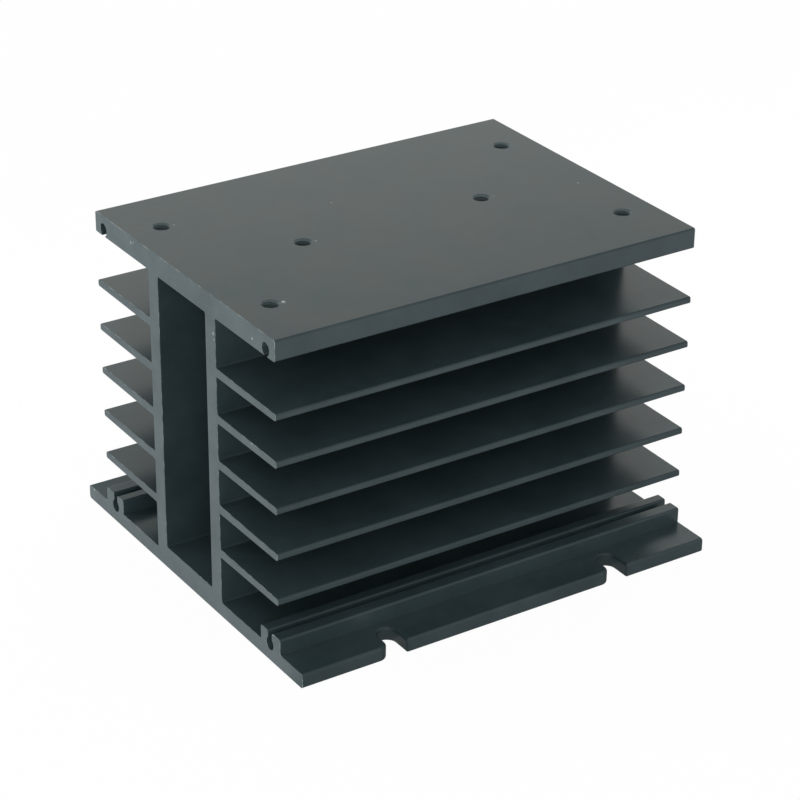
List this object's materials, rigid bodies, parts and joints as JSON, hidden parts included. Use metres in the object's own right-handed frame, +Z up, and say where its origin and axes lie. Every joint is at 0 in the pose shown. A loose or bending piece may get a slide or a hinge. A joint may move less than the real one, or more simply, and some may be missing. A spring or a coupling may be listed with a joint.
{
  "type": "relay heat sink",
  "caption": "Extruded black aluminium heat sink with side fins around a square duct, a flat tapped plate for a relay and a slotted base.",
  "frame": {"origin": "middle of the flat underside", "axes": "+X along the extrusion, +Y across it towards one row of fins, +Z up through the relay plate"},
  "size_m": [0.11, 0.1, 0.0794],
  "materials": {
    "anodised_aluminium": "black anodised, satin"
  },
  "bodies": {
    "root": {"heat_sink": "anodised_aluminium"}
  },
  "joints": []
}
